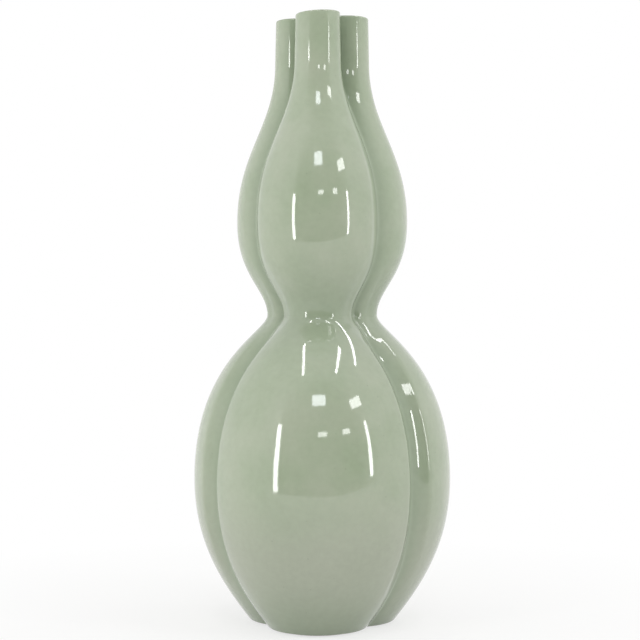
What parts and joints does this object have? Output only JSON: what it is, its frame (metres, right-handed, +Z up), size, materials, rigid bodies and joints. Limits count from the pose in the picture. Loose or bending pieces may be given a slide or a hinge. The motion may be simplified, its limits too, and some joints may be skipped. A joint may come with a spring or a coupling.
{
  "type": "double gourd vase",
  "caption": "Celadon stoneware vase of double gourds joined side by side, each with a round lower bulb, a slimmer upper bulb and an open neck, sharing one water chamber.",
  "frame": {"origin": "middle of the rest face under the foot ring, on the axis of the group", "axes": "+Z up through the necks, -Y towards the front gourd, +X to the right of someone facing it"},
  "size_m": [0.1702, 0.1658, 0.4],
  "materials": {
    "celadon_glaze": "high-gloss pale grey-green celadon glaze over stoneware",
    "slip_lute": "fired slip inside the joints",
    "bare_stoneware": "unglazed, wiped foot of grey-buff stoneware"
  },
  "bodies": {
    "root": {"lower_bowl_front": "celadon_glaze", "lower_bowl_right": "celadon_glaze", "lower_bowl_left": "celadon_glaze", "lower_shoulder_front": "celadon_glaze", "lower_shoulder_right": "celadon_glaze", "lower_shoulder_left": "celadon_glaze", "upper_bowl_front": "celadon_glaze", "upper_bowl_right": "celadon_glaze", "upper_bowl_left": "celadon_glaze", "upper_shoulder_front": "celadon_glaze", "upper_shoulder_right": "celadon_glaze", "upper_shoulder_left": "celadon_glaze", "neck_front": "celadon_glaze", "neck_right": "celadon_glaze", "neck_left": "celadon_glaze", "lower_belly_lute_front": "slip_lute", "lower_belly_lute_right": "slip_lute", "lower_belly_lute_left": "slip_lute", "upper_belly_lute_front": "slip_lute", "upper_belly_lute_right": "slip_lute", "upper_belly_lute_left": "slip_lute", "neck_lute_front": "slip_lute", "neck_lute_right": "slip_lute", "neck_lute_left": "slip_lute", "lower_seam_front_right": "celadon_glaze", "lower_seam_rear": "celadon_glaze", "lower_seam_front_left": "celadon_glaze", "upper_seam_front_right": "celadon_glaze", "upper_seam_rear": "celadon_glaze", "upper_seam_front_left": "celadon_glaze", "crotch_plug": "celadon_glaze", "waist_lute": "slip_lute", "floor": "celadon_glaze", "floor_lute": "slip_lute", "foot_ring": "bare_stoneware"}
  },
  "joints": []
}
